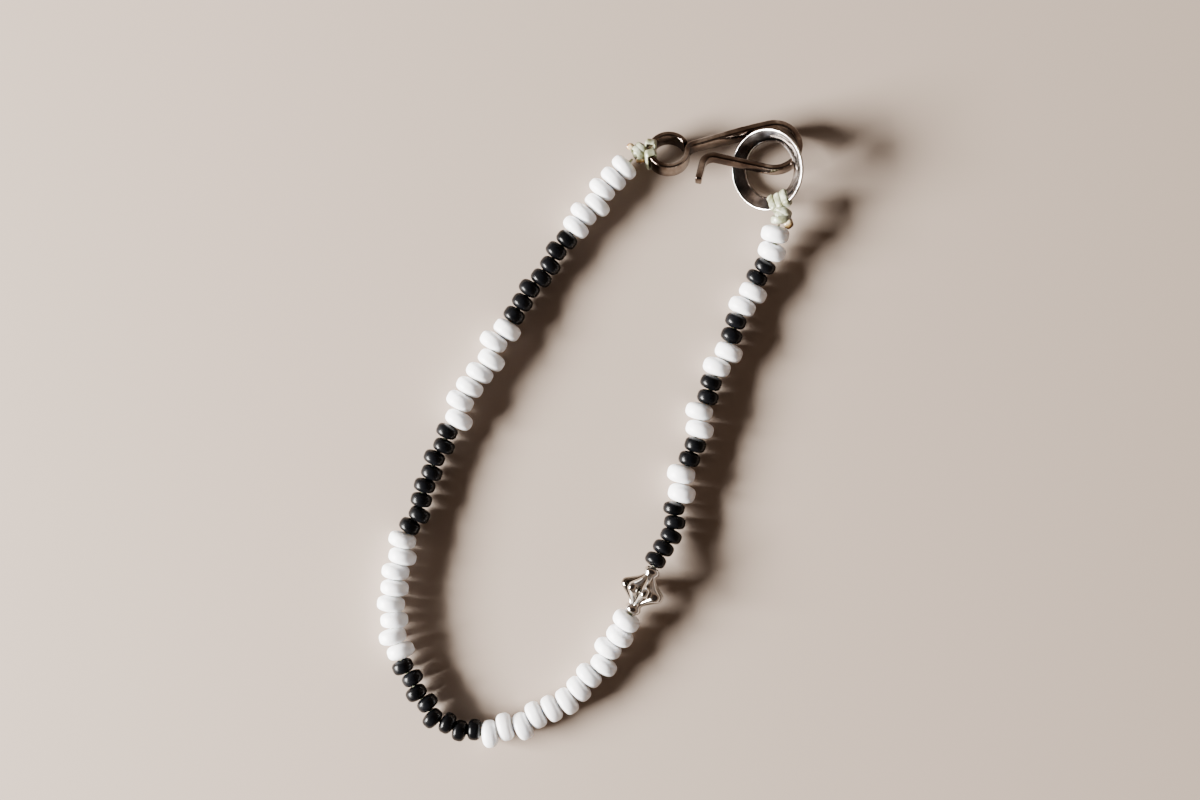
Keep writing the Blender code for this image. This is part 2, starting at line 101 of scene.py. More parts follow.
def addTube(bm, line, radius, sides=14, closed=False, outs=None, flat=(1.0, 1.0)):
    # a cord along the line, pressed flat against what the outs point away from; its twist is read
    # from how far along and how far round the cord each point is
    tip, tipRings = 0.35, 3  # an open cord narrows to this share over its last rings
    along = bm.verts.layers.float.get("along") or bm.verts.layers.float.new("along")
    around = bm.verts.layers.float.get("around") or bm.verts.layers.float.new("around")
    rings = []
    travelled = 0.0
    count = len(line)
    turned = None
    for index, point in enumerate(line):
        before = line[index - 1] if closed or index else point
        after = line[(index + 1) % count] if closed or index + 1 < count else point
        direction = (after - before).normalized()
        if outs:
            across = outs[index].cross(direction).normalized()
            turned = Matrix((across, direction.cross(across), direction)).transposed().to_4x4()
        elif turned is None:
            turned = placeAlong(Vector(), direction)
        else:
            # carries the last ring's turn on, so that the cord isn't wrung
            turned = turned.to_3x3().col[2].rotation_difference(direction).to_matrix().to_4x4() @ turned
            travelled += (point - line[index - 1]).length
        size = radius
        if not closed:
            for fromEnd in (index, count - 1 - index):
                size *= min(1.0, tip + (1 - tip) * math.sqrt(fromEnd / tipRings))
        edges = addRing(bm, Matrix.Identity(4), size, sides)
        verts = list({vert for edge in edges for vert in edge.verts})
        for vert in verts:
            vert[along] = travelled
            vert[around] = math.atan2(vert.co.y, vert.co.x) / math.tau + 0.5
        shape = Matrix.Translation(point) @ turned @ Matrix.Diagonal((*flat, 1.0, 1.0))
        bmesh.ops.transform(bm, matrix=shape, verts=verts)
        rings.append(edges)
    bridgeRings(bm, rings, closed=closed)


def finishPiece(bm, name, material, replaced=(), smoothAngle=50.0):
    bmesh.ops.remove_doubles(bm, verts=bm.verts, dist=1e-7)
    bmesh.ops.recalc_face_normals(bm, faces=bm.faces)
    mesh = bpy.data.meshes.new(name)
    bm.to_mesh(mesh)
    bm.free()
    mesh.shade_smooth()
    mesh.set_sharp_from_angle(angle=math.radians(smoothAngle))
    mesh.materials.append(material)
    piece = bpy.data.objects.new(name, mesh)
    bpy.context.scene.collection.objects.link(piece)
    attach(piece, "root")
    if replaced:
        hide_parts(*replaced)
    return piece


# materials

def newMaterial(name, **values):
    material = bpy.data.materials.new(name)
    material.use_nodes = True
    shader = material.node_tree.nodes["Principled BSDF"]
    for socket, value in values.items():
        shader.inputs[socket.replace("_", " ")].default_value = value
    return material, material.node_tree.nodes, material.node_tree.links, shader


def addNoise(nodes, links, scale, detail=3.0, stretch=(1.0, 1.0, 1.0), turn=0.0):
    coords = nodes.new("ShaderNodeTexCoord")
    mapping = nodes.new("ShaderNodeMapping")
    mapping.inputs["Scale"].default_value = stretch
    mapping.inputs["Rotation"].default_value = (0.0, 0.0, turn)
    noise = nodes.new("ShaderNodeTexNoise")
    noise.inputs["Scale"].default_value = scale
    noise.inputs["Detail"].default_value = detail
    links.new(coords.outputs["Object"], mapping.inputs["Vector"])
    links.new(mapping.outputs["Vector"], noise.inputs["Vector"])
    return noise


def addRamp(nodes, links, source, stops):
    # stops are places on the ramp with their colours
    ramp = nodes.new("ShaderNodeValToRGB")
    while len(ramp.color_ramp.elements) < len(stops):
        ramp.color_ramp.elements.new(0.5)
    for element, (position, colour) in zip(ramp.color_ramp.elements, stops):
        element.position = position
        element.color = (*colour, 1.0)
    links.new(source, ramp.inputs["Fac"])
    return ramp


def addRange(nodes, links, source, low, high):
    spread = nodes.new("ShaderNodeMapRange")
    spread.inputs["To Min"].default_value = low
    spread.inputs["To Max"].default_value = high
    links.new(source, spread.inputs["Value"])
    return spread


def addBump(nodes, links, shader, source, strength, distance, under=None):
    bump = nodes.new("ShaderNodeBump")
    bump.inputs["Strength"].default_value = strength
    bump.inputs["Distance"].default_value = distance
    links.new(source, bump.inputs["Height"])
    if under:
        links.new(under.outputs["Normal"], bump.inputs["Normal"])
    links.new(bump.outputs["Normal"], shader.inputs["Normal"])
    return bump


def addTone(nodes, links, colour, attribute, low, high):
    # each bead is a little lighter or darker than the next
    tone = nodes.new("ShaderNodeAttribute")
    tone.attribute_name = attribute
    spread = addRange(nodes, links, tone.outputs["Fac"], low, high)
    shade = nodes.new("ShaderNodeHueSaturation")
    links.new(spread.outputs["Result"], shade.inputs["Value"])
    links.new(colour, shade.inputs["Color"])
    return shade.outputs["Color"]


def makeWhiteGlass():
    material, nodes, links, shader = newMaterial(
        "milkWhiteGlass", Roughness=0.42, IOR=1.5, Subsurface_Weight=0.6, Subsurface_Scale=0.0014,
        Coat_Weight=0.12, Coat_Roughness=0.3)
    shader.inputs["Subsurface Radius"].default_value = (0.9, 0.95, 1.0)
    cloud = addNoise(nodes, links, 420.0, 2.0)
    milk = addRamp(nodes, links, cloud.outputs["Fac"],
                   [(0.30, (0.91, 0.93, 0.96)), (0.55, (0.945, 0.955, 0.975)), (0.75, (0.955, 0.96, 0.965))])
    shade = addTone(nodes, links, milk.outputs["Color"], "beadTone", 0.95, 1.03)
    links.new(shade, shader.inputs["Base Color"])
    wear = addNoise(nodes, links, 2600.0, 4.0)
    rough = addRange(nodes, links, wear.outputs["Fac"], 0.32, 0.52)
    links.new(rough.outputs["Result"], shader.inputs["Roughness"])
    wave = addNoise(nodes, links, 600.0, 0.0)
    broad = addBump(nodes, links, shader, wave.outputs["Fac"], 0.10, 0.0003)
    addBump(nodes, links, shader, wear.outputs["Fac"], 0.06, 0.00005, broad)
    return material


def makeBlackGlass():
    material, nodes, links, shader = newMaterial(
        "jetBlackGlass", Roughness=0.27, IOR=1.5, Specular_IOR_Level=0.17)
    cloud = addNoise(nodes, links, 500.0, 2.0)
    jet = addRamp(nodes, links, cloud.outputs["Fac"],
                  [(0.35, (0.0010, 0.0011, 0.0014)), (0.7, (0.003, 0.0032, 0.004))])
    shade = addTone(nodes, links, jet.outputs["Color"], "beadTone", 0.7, 1.3)
    links.new(shade, shader.inputs["Base Color"])
    wear = addNoise(nodes, links, 2200.0, 5.0)
    rough = addRange(nodes, links, wear.outputs["Fac"], 0.20, 0.35)
    links.new(rough.outputs["Result"], shader.inputs["Roughness"])
    wave = addNoise(nodes, links, 700.0, 0.0)
    broad = addBump(nodes, links, shader, wave.outputs["Fac"], 0.12, 0.0002)
    addBump(nodes, links, shader, wear.outputs["Fac"], 0.05, 0.00004, broad)
    return material


def addPaintedSideShade(nodes, links, colour, sideShadeTint):
    # painted shade: the colour is darkened towards the given tint where the mask is low, standing in for the
    # shaded floor that the hook's wide sides reflect
    sideShadeMask = nodes.new("ShaderNodeAttribute")
    sideShadeMask.attribute_name = "sideShadeMask"
    shadeRamp = addRamp(nodes, links, sideShadeMask.outputs["Fac"], [(0.30, sideShadeTint), (0.85, (1.0, 1.0, 1.0))])
    shadedColour = nodes.new("ShaderNodeVectorMath")
    shadedColour.operation = "MULTIPLY"
    links.new(colour, shadedColour.inputs[0])
    links.new(shadeRamp.outputs["Color"], shadedColour.inputs[1])
    return shadedColour.outputs["Vector"]


silver = {
    # dark, middle and light tone, the scratches' turn, the hammering's scale and depth, and the tint of the
    # painted shade on the hook's wide sides
    "ringSilver": {
        "tones": ((0.14, 0.12, 0.11), (0.44, 0.415, 0.40), (0.92, 0.91, 0.90)),
        "scratchTurn": 0.4, "hammerScale": 560.0, "hammerDepth": 0.35, "sideShadeTint": None,
    },
    "hookSilver": {
        "tones": ((0.09, 0.06, 0.045), (0.25, 0.20, 0.165), (0.62, 0.57, 0.52)),
        # the last value tints the painted shade on the hook's wide sides
        "scratchTurn": 1.0, "hammerScale": 420.0, "hammerDepth": 0.5, "sideShadeTint": (0.42, 0.39, 0.37),
    },
    "charmSilver": {
        "tones": ((0.28, 0.25, 0.21), (0.60, 0.56, 0.50), (0.90, 0.88, 0.85)),
        "scratchTurn": 0.0, "hammerScale": 640.0, "hammerDepth": 0.35, "sideShadeTint": None,
    },
}


def makeSilver(name):
    finish = silver[name]
    material, nodes, links, shader = newMaterial(name, Metallic=1.0, Roughness=0.12)
    cloud = addNoise(nodes, links, 300.0, 5.0)
    tones = addRamp(nodes, links, cloud.outputs["Fac"], list(zip((0.34, 0.50, 0.64), finish["tones"])))
    metal = tones.outputs["Color"]
    # painted shade on the hook strip's wide sides
    if finish["sideShadeTint"]:
        metal = addPaintedSideShade(nodes, links, metal, finish["sideShadeTint"])
    links.new(metal, shader.inputs["Base Color"])
    scratch = addNoise(nodes, links, 900.0, 6.0, (1.0, 14.0, 6.0), finish["scratchTurn"])
    rough = addRange(nodes, links, scratch.outputs["Fac"], 0.04, 0.19)
    links.new(rough.outputs["Result"], shader.inputs["Roughness"])
    hammer = addNoise(nodes, links, finish["hammerScale"], 0.0)
    broad = addBump(nodes, links, shader, hammer.outputs["Fac"], finish["hammerDepth"], 0.00022)
    addBump(nodes, links, shader, scratch.outputs["Fac"], 0.12, 0.00003, broad)
    return material


def makeWaxedCord():
    material, nodes, links, shader = newMaterial(
        "waxedCord", Roughness=0.36, Subsurface_Weight=0.3, Subsurface_Scale=0.0006, Coat_Weight=0.35,
        Coat_Roughness=0.22)
    shader.inputs["Subsurface Radius"].default_value = (1.0, 0.95, 0.7)
    cloud = addNoise(nodes, links, 900.0, 3.0)
    wax = addRamp(nodes, links, cloud.outputs["Fac"],
                  [(0.34, (0.15, 0.15, 0.075)), (0.50, (0.28, 0.30, 0.20)), (0.66, (0.46, 0.48, 0.37))])
    links.new(wax.outputs["Color"], shader.inputs["Base Color"])
    # the strands' twist, from how far along and how far round the cord each point is
    along = nodes.new("ShaderNodeAttribute")
    along.attribute_name = "along"
    around = nodes.new("ShaderNodeAttribute")
    around.attribute_name = "around"
    twistLength, strandCount = 0.0011, 3
    pitch = nodes.new("ShaderNodeMath")
    pitch.operation = "MULTIPLY_ADD"
    pitch.inputs[1].default_value = 1.0 / twistLength
    links.new(along.outputs["Fac"], pitch.inputs[0])
    links.new(around.outputs["Fac"], pitch.inputs[2])
    turns = nodes.new("ShaderNodeMath")
    turns.operation = "MULTIPLY"
    turns.inputs[1].default_value = strandCount * math.tau
    links.new(pitch.outputs["Value"], turns.inputs[0])
    twist = nodes.new("ShaderNodeMath")
    twist.operation = "SINE"
    links.new(turns.outputs["Value"], twist.inputs[0])
    strands = addBump(nodes, links, shader, twist.outputs["Value"], 0.25, 0.00004)
    grain = addNoise(nodes, links, 1500.0, 3.0)
    addBump(nodes, links, shader, grain.outputs["Fac"], 0.3, 0.00012, strands)
    return material


def makeMeltedCord():
    material, nodes, links, shader = newMaterial(
        "meltedCordEnd", Roughness=0.22, Subsurface_Weight=0.25, Subsurface_Scale=0.0005, Coat_Weight=0.5,
        Coat_Roughness=0.12)
    shader.inputs["Subsurface Radius"].default_value = (1.0, 0.55, 0.2)
    endDarkening = nodes.new("ShaderNodeAttribute")
    endDarkening.attribute_name = "endDarkening"
    cloud = addNoise(nodes, links, 1100.0, 3.0)
    mixed = nodes.new("ShaderNodeMath")
    mixed.operation = "MULTIPLY_ADD"
    mixed.inputs[1].default_value = 0.5
    links.new(cloud.outputs["Fac"], mixed.inputs[0])
    links.new(endDarkening.outputs["Fac"], mixed.inputs[2])
    amber = addRamp(nodes, links, mixed.outputs["Value"],
                    [(0.45, (0.62, 0.52, 0.34)), (0.72, (0.50, 0.33, 0.13)), (0.88, (0.26, 0.12, 0.03)),
                     (1.0, (0.12, 0.05, 0.015))])
    links.new(amber.outputs["Color"], shader.inputs["Base Color"])
    addBump(nodes, links, shader, cloud.outputs["Fac"], 0.3, 0.00015)
    return material


whiteGlass = makeWhiteGlass()
blackGlass = makeBlackGlass()
ringSilver = makeSilver("ringSilver")
hookSilver = makeSilver("hookSilver")
charmSilver = makeSilver("charmSilver")
waxedCord = makeWaxedCord()
meltedCord = makeMeltedCord()
print("materials made")


# the string's way over the floor, with the same points as the part's own route, in millimetres

string = {
    "hookEnd": (36.61, 13.33, 2.52),
    "ringEnd": (38.09, -10.27, 3.80),
    "points": (
        (31.2, 14.8), (19.1, 16.7), (8.9, 17.9), (-5.0, 18.5), (-18.9, 18.0), (-24.1, 16.8),
        (-29.2, 16.6), (-41.4, 11.8), (-49.3, 1.2), (-48.8, -6.7), (-42.8, -12.7), (-32.2, -17.3),
        (-10.2, -17.5), (-5.1, -16.3), (10.6, -13.0), (24.1, -11.5), (33.8, -11.2),
    ),
    "pointSteps": 16,
    "centring": (0.002, -0.043),
    "bareAtHook": 0.65,
    "bareAtRing": 0.30,
    "restHeight": 2.025,
    "knotReach": 9.0,
    "charmLength": 6.95,
    "charmGap": 0.36,
    "charmHeight": 3.375,
    "charmReach": 12.0,
    "cordDiameter": 0.7,
    "cordStep": 0.8,
    "cordSides": 12,
    "wayReach": 1.2,
}

beads = {
    "white": {"length": 2.52, "diameter": 4.20, "hole": 1.05, "squareness": 2.9},
    "black": {"length": 2.19, "diameter": 3.26, "hole": 0.95, "squareness": 2.9},
    "sitStep": 0.28,
    "gap": 0.02,
    "tilt": 3.0,
    "steps": 32,
    # the side's curve from one end face to the other, in degrees, and how far in the hole's edge lies
    "sideFrom": 14,
    "sideTurn": 152,
    "sideSteps": 18,
    "holeRim": 1.25,
    "holeDepth": 0.80,
    "longRuns": (
        ("white", 0.90, "--rLr-"), ("black", 1.04, "-rllr--"), ("white", 1.00, "lRL-rRL"),
        ("black", 0.99, "rlrl--l-"), ("white", 0.95, "rlr-rlrl"), ("black", 0.99, "rlrlRl-L"),
        ("white", 0.99, "-Lrl-r-lRlr-"),
    ),
    "shortRuns": (
        ("black", 0.94, "l-r-l"), ("white", 1.09, "rL"), ("black", 1.02, "-r"), ("white", 1.01, "rL"),
        ("black", 1.01, "-l"), ("white", 1.06, "lR"), ("black", 1.02, "-l"), ("white", 0.99, "lr"),
        ("black", 0.93, "l-"), ("white", 1.01, "-l"),
    ),
}
sitSteps = {"L": 2, "l": 1, "-": 0, "r": -1, "R": -2}


def layBeads(runs, start):
    # kind, middle along the string, length and sideways step of each bead, in millimetres
    laid = []
    for kind, spread, sit in runs:
        length = beads[kind]["length"] * spread
        for letter in sit:
            laid.append((kind, start + length / 2, length, sitSteps[letter] * beads["sitStep"]))
            start += length
    return laid, start


longBeads, charmStart = layBeads(beads["longRuns"], string["bareAtHook"])
charmEnd = charmStart + string["charmLength"] + 2 * string["charmGap"]
shortBeads, beadsEnd = layBeads(beads["shortRuns"], charmEnd)
stringLength = beadsEnd + string["bareAtRing"]


def lineLengths(line):
    lengths = [0.0]
    for near, far in zip(line, line[1:]):
        lengths.append(lengths[-1] + (far - near).length)
    return lengths


def settleRoute():
    # the route grows about the clasp until it is as long as what is strung on it
    centring = Vector((*string["centring"], 0.0))
    inner = [Vector((x, y, 0.0)) + centring for x, y in string["points"]]
    start = Vector((*string["hookEnd"][:2], 0.0))
    end = Vector((*string["ringEnd"][:2], 0.0))
    anchor = (start + end) / 2
    low, high = 0.5, 2.0
    for _ in range(40):
        growth = (low + high) / 2
        grown = [anchor + (point - anchor) * growth for point in inner]
        line = curvePoints([start, *grown, end], string["pointSteps"])
        if lineLengths(line)[-1] < stringLength:
            low = growth
        else:
            high = growth
    print("route grown by", round(growth, 4), "to", round(lineLengths(line)[-1], 2), "mm")
    return line


routeLine = settleRoute()
routeLengths = lineLengths(routeLine)


def heldUp(distance, reach):
    share = min(1.0, abs(distance) / reach)
    return (1 - share ** 2) ** 2


def heightAt(s):
    rest = string["restHeight"]
    charmLift = (string["charmHeight"] - rest) / heldUp(string["charmLength"] / 2, string["charmReach"])
    lift = (string["hookEnd"][2] - rest) * heldUp(s, string["knotReach"])
    lift += charmLift * heldUp(s - (charmStart + charmEnd) / 2, string["charmReach"])
    lift += (string["ringEnd"][2] - rest) * heldUp(s - stringLength, string["knotReach"])
    return rest + lift


def pointAt(s):
    s = min(max(s, 0.0), routeLengths[-1])
    index = next((i for i, far in enumerate(routeLengths[1:]) if far >= s), len(routeLine) - 2)
    stretch = routeLengths[index + 1] - routeLengths[index]
    spot = routeLine[index].lerp(routeLine[index + 1], (s - routeLengths[index]) / stretch)
    return Vector((spot.x, spot.y, heightAt(s))) * mm


def directionAt(s):
    reach = string["wayReach"]
    return (pointAt(s + reach) - pointAt(s - reach)).normalized()


def placeAt(s, sideways=0.0):
    direction = directionAt(s)
    left = up.cross(direction).normalized()
    return placeAlong(pointAt(s) + left * sideways * mm, direction)


# beads: a rounded barrel spun round its hole

def addBead(bm, kind, length):
    shape = beads[kind]
    half = (length - beads["gap"]) / 2 * chance.uniform(0.985, 1.0)
    radius = shape["diameter"] / 2 * chance.uniform(0.975, 1.0)
    hole = shape["hole"] / 2
    power = 2 / (shape["squareness"] * chance.uniform(0.94, 1.06))
    verts = []
    for step in range(beads["sideSteps"] + 1):
        angle = math.radians(beads["sideFrom"] + beads["sideTurn"] * step / beads["sideSteps"])
        across = radius * math.sin(angle) ** power
        along = half * math.copysign(abs(math.cos(angle)) ** power, math.cos(angle))
        verts.append(bm.verts.new((max(across, hole * beads["holeRim"]) * mm, 0.0, along * mm)))
    for along in (-beads["holeDepth"], beads["holeDepth"]):
        verts.append(bm.verts.new((hole * mm, 0.0, along * half * mm)))
    edges = [bm.edges.new((verts[i - 1], verts[i])) for i in range(len(verts))]
    bmesh.ops.spin(bm, geom=verts + edges, cent=(0, 0, 0), axis=up, angle=math.tau,
                   steps=beads["steps"], use_merge=True, use_duplicate=False)
    return {vert for vert in bm.verts if not vert.tag}


def makeBeads(name, kind, laid, material, replaced=()):
    bm = bmesh.new()
    tones = bm.verts.layers.float.new("beadTone")
    tilt = beads["tilt"]
    for beadKind, middle, length, sideways in laid:
        if beadKind != kind:
            continue
        place = placeAt(middle, sideways)
        lean = Matrix.Rotation(math.radians(chance.uniform(-tilt, tilt)), 4, "Y")
        dip = Matrix.Rotation(math.radians(chance.uniform(-tilt, tilt) / 3), 4, "X")
        turn = Matrix.Rotation(chance.uniform(0, math.tau), 4, "Z")
        tone = chance.uniform(0.0, 1.0)
        made = addBead(bm, kind, length)
        bmesh.ops.transform(bm, matrix=place @ lean @ dip @ turn, verts=list(made))
        for vert in made:
            vert[tones] = tone
            vert.tag = True
    finishPiece(bm, name, material, replaced)


makeBeads("whiteBeadsLong", "white", longBeads, whiteGlass, ["bead_string_long"])
makeBeads("blackBeadsLong", "black", longBeads, blackGlass)
makeBeads("whiteBeadsShort", "white", shortBeads, whiteGlass, ["bead_string_short"])
makeBeads("blackBeadsShort", "black", shortBeads, blackGlass)
print("beads made:", len(longBeads) + len(shortBeads))


def makeThread(name, start, end):
    bm = bmesh.new()
    count = round((end - start) / string["cordStep"])
    line = [pointAt(start + (end - start) * step / count) for step in range(count + 1)]
    addTube(bm, line, string["cordDiameter"] / 2 * mm, string["cordSides"])
    finishPiece(bm, name, waxedCord)


# charm bead: eight folded petals between two round collars

charm = {
    "bore": 1.3,
    "boreEnd": 0.93,
    "petals": 8,
    "lobePower": 0.7,
    "turn": 6.0,
    "sides": 128,
    "stretch": 1.06,
    # share of half the length, radius of the petals and of the valleys between them
    "sections": (
        (0.990, 0.90, 0.90), (0.955, 1.06, 1.06), (0.90, 1.17, 1.17), (0.83, 1.20, 1.20), (0.76, 1.15, 1.15),
        (0.70, 1.02, 1.02), (0.65, 0.96, 0.92), (0.58, 1.12, 0.96), (0.48, 1.50, 1.10), (0.38, 1.98, 1.28),
        (0.28, 2.52, 1.40), (0.20, 2.96, 1.56), (0.145, 3.22, 1.66), (0.09, 3.345, 1.72), (0.03, 3.37, 1.75),
    ),
}


def addPetalRing(bm, place, tip, valley):
    # eight lobes, round at their tips and sharp in the valleys between them
    edges = addRing(bm, Matrix.Identity(4), tip * mm, charm["sides"])
    verts = list({vert for edge in edges for vert in edge.verts})
    for vert in verts:
        angle = math.atan2(vert.co.y, vert.co.x) - math.radians(90 + charm["turn"])
        lobe = abs(math.cos(angle * charm["petals"] / 2)) ** charm["lobePower"]
        vert.co *= (valley + (tip - valley) * lobe) / tip
    bmesh.ops.transform(bm, matrix=place, verts=verts)
    return edges


def makeCharm():
    bm = bmesh.new()
    near = pointAt(charmStart + string["charmGap"])
    far = pointAt(charmEnd - string["charmGap"])
    middle = (near + far) / 2
    axis = (far - near).normalized()
    half = string["charmLength"] / 2 * charm["stretch"] * mm
    rings = []
    sections = [(-along, tip, valley) for along, tip, valley in charm["sections"]]
    sections += list(reversed(charm["sections"]))
    for along, tip, valley in sections:
        rings.append(addPetalRing(bm, placeAlong(middle + axis * along * half, axis), tip, valley))
    for along in (charm["boreEnd"], -charm["boreEnd"]):
        place = placeAlong(middle + axis * along * half, axis)
        rings.append(addRing(bm, place, charm["bore"] / 2 * mm, charm["sides"]))
    bridgeRings(bm, rings, closed=True)
    finishPiece(bm, "starCharm", charmSilver, ["charm_bead"], 35.0)


makeCharm()
makeThread("threadLong", 0.0, (charmStart + charmEnd) / 2 - 0.1)
makeThread("threadShort", (charmStart + charmEnd) / 2 + 0.1, stringLength)
print("charm bead and threads made")


# hook: one strip bent on the flat, whose walk starts at the eye's free end

hook = {
    "eyeRadius": 2.75,
    "eyeStart": 22.0,
    "eyeTurn": 333.0,
    "eyeWidth": 2.7,
    "eyeWall": 0.80,
    # stretch after the eye, length in millimetres, turn in degrees, strip width and wall at its end
    "walk": (
        ("neck", 1.6, -73.0, 2.2, 0.98),
        ("shank", 11.75, -4.0, 3.3, 1.00),
        ("wideBend", 7.0, -115.0, 2.3, 0.88),
        ("closeBend", 6.2, -93.0, 1.8, 0.86),
        ("arm", 7.8, 0.0, 1.8, 0.90),
        ("tipCurve", 2.6, 92.0, 1.8, 0.98),
        ("tip", 2.9, 0.0, 1.6, 0.98),
    ),
    "step": 0.22,
    "rounding": 0.24,
    "place": (39.70, 8.957, 2.86),
    "heading": -57.2,
    "lean": 24.0,
}
hookPlace = (Matrix.Translation(Vector(hook["place"]) * mm)
             @ Matrix.Rotation(math.radians(hook["heading"]), 4, "Z")
             @ Matrix.Rotation(math.radians(-hook["lean"]), 4, "X"))


def hookStations():
    start = math.radians(hook["eyeStart"])
    x = hook["eyeRadius"] * math.cos(start)
    y = hook["eyeRadius"] * math.sin(start)
    heading = start + math.pi / 2
    width, wall = hook["eyeWidth"], hook["eyeWall"]
    stations = [(x, y, heading, width, wall)]
    eye = ("eye", hook["eyeRadius"] * math.radians(hook["eyeTurn"]), hook["eyeTurn"], width, wall)
    for _, length, turn, endWidth, endWall in (eye, *hook["walk"]):
        steps = max(2, round(length / hook["step"]))
        bend = math.radians(turn) / steps
        startWidth, startWall = width, wall
        for step in range(1, steps + 1):
            x += length / steps * math.cos(heading + bend / 2)
            y += length / steps * math.sin(heading + bend / 2)
            heading += bend
            ease = 0.5 - 0.5 * math.cos(math.pi * step / steps)
            width = startWidth + (endWidth - startWidth) * ease
            wall = startWall + (endWall - startWall) * ease
            stations.append((x, y, heading, width, wall))
    return stations


def makeHook():
    bm = bmesh.new()
    rings = []
    for x, y, heading, width, wall in hookStations():
        section = Matrix.Diagonal((wall * mm, width * mm, mm, 1.0)) @ Matrix.Rotation(math.pi / 4, 4, "Z")
        facing = Matrix.Rotation(heading + math.pi / 2, 4, "Z") @ Matrix.Rotation(math.pi / 2, 4, "X")
        place = hookPlace @ Matrix.Translation((x * mm, y * mm, 0.0)) @ facing @ section
        rings.append(addRing(bm, place, math.sqrt(0.5), 4))
    bridgeRings(bm, rings)
    bmesh.ops.recalc_face_normals(bm, faces=bm.faces)
    corners = [edge for edge in bm.edges if edge.calc_face_angle() > math.radians(50)]
    bmesh.ops.bevel(bm, geom=corners, offset=hook["rounding"] * mm, segments=4, profile=0.5, affect="EDGES",
                    material=-1)
    # painted shade: the strip's wide sides are darkened for the shaded floor they reflect, its edges keep
    # the metal's own colour
    sideShadeMask = bm.verts.layers.float.new("sideShadeMask")
    bm.normal_update()
    axis = hookPlace.to_3x3() @ up
    for vert in bm.verts:
        vert[sideShadeMask] = abs(vert.normal.dot(axis))
    finishPiece(bm, "claspHook", hookSilver, ["hook"], 60.0)


makeHook()
print("hook made")


# ring: a dished band, its top sloping down to the hole

ring = {
    "outer": 11.9,
    "inner": 8.2,
    "dish": 0.8,
    "edge": 0.6,
    "crown": 0.08,
    "crownSteps": 8,
    "rounding": 0.13,
    "steps": 120,
    "place": (44.212, -4.833, 4.14),
    "heading": -62.0,
    "raise": 36.2,
    "roll": 7.0,
}
ringPlace = (Matrix.Translation(Vector(ring["place"]) * mm)
             @ Matrix.Rotation(math.radians(ring["heading"]), 4, "Z")
             @ Matrix.Rotation(math.radians(-ring["raise"]), 4, "Y")
             @ Matrix.Rotation(math.radians(ring["roll"]), 4, "X"))


def makeRing():
    bm = bmesh.new()
    outer, inner, dish, edge = ring["outer"] / 2, ring["inner"] / 2, ring["dish"], ring["edge"]
    corners = [(outer, 0.0), (outer, -edge), (inner, -edge - dish), (inner, -dish)]
    for step in range(1, ring["crownSteps"]):
        share = step / ring["crownSteps"]
        height = -dish * (1 - share) + 4 * ring["crown"] * share * (1 - share)
        corners.append((inner + (outer - inner) * share, height))
    verts = [bm.verts.new((across * mm, 0.0, height * mm)) for across, height in corners]
    edges = [bm.edges.new((verts[i - 1], verts[i])) for i in range(len(verts))]
    bmesh.ops.spin(bm, geom=verts + edges, cent=(0, 0, 0), axis=up, angle=math.tau, steps=ring["steps"],
                   use_merge=True, use_duplicate=False)
    bmesh.ops.recalc_face_normals(bm, faces=bm.faces)
    rims = [e for e in bm.edges if e.calc_face_angle() > math.radians(30)]
    bmesh.ops.bevel(bm, geom=rims, offset=ring["rounding"] * mm, segments=4, profile=0.5, affect="EDGES",
                    material=-1)
    bmesh.ops.transform(bm, matrix=ringPlace, verts=bm.verts)
    finishPiece(bm, "claspRing", ringSilver, ["ring"], 60.0)


makeRing()
print("ring made")


# knots: cord wound round the metal, the knot, and its melted ends

knots = {
    "cordWidth": 1.08,
    "cordThickness": 0.48,
    "eyeCordShare": 1.15,
    "room": 0.02,
    "wrapTuck": 0.26,
    "wrapSteps": 56,
    "loopSteps": 48,
    "ringCore": (1.05, 0.9, 1.15),
    "hookCore": (0.85, 0.8, 1.1),
    "wrapPitch": 1.08,
    "wraps": 3,
    "wrapAngle": -72.0,
    "wrapLean": 12.0,
    "ringKnot": (39.28, -10.05, 3.80),
    "hookKnot": (38.03, 12.96, 2.60),
    # where each loop of a knot sits along the thread, its half width and height, and its two leans
    "ringLoops": ((0.62, 1.22, 1.05, 12.0, -14.0), (-0.42, 1.30, 1.12, -10.0, 16.0)),
    "hookLoops": ((-0.55, 0.95, 0.95, 14.0, 12.0), (0.30, 1.05, 1.0, -12.0, -14.0)),
    # where each strand goes round the eye, and its slant, in degrees
    "strands": ((164.0, 22.0), (193.0, 4.0)),
    # melted ends: right, up and above the knot in the picture, then half sizes the same way
    "ringEnds": ((1.00, -1.12, 0.45, 0.76, 0.90, 0.62),),
    "hookEnds": ((-1.35, 0.72, 0.40, 0.62, 0.52, 0.45), (0.10, -1.30, 0.10, 0.62, 0.66, 0.50)),
}


def aroundSection(halfWidth, halfHeight, corner, turn):
    # a point on the rounded rectangle round a metal section, at this share of a turn, and its way out
    quarter = int(turn * 4) % 4
    within = (turn * 4) % 1.0
    signs = ((1, 1), (-1, 1), (-1, -1), (1, -1))
    here = Vector((signs[quarter][0] * halfWidth, signs[quarter][1] * halfHeight, 0.0))
    there = Vector((signs[quarter - 3][0] * halfWidth, signs[quarter - 3][1] * halfHeight, 0.0))
    angle = math.radians(90 * (quarter + min(1.0, within / 0.5)))
    out = Vector((math.cos(angle), math.sin(angle), 0.0))
    return here.lerp(there, max(0.0, within - 0.5) / 0.5) + corner * out, out


def addStrand(bm, place, halfWidth, halfHeight, flat):
    # one turn of cord drawn tight round a metal section, in the XY plane of its place
    corner = knots["room"] + knots["cordThickness"] / 2
    line, outs = [], []
    for step in range(knots["wrapSteps"]):
        spot, out = aroundSection(halfWidth, halfHeight, corner, step / knots["wrapSteps"])
        line.append(place @ (spot * mm))
        outs.append(place.to_3x3() @ out)
    addTube(bm, line, 0.5 * mm, closed=True, outs=outs, flat=flat)


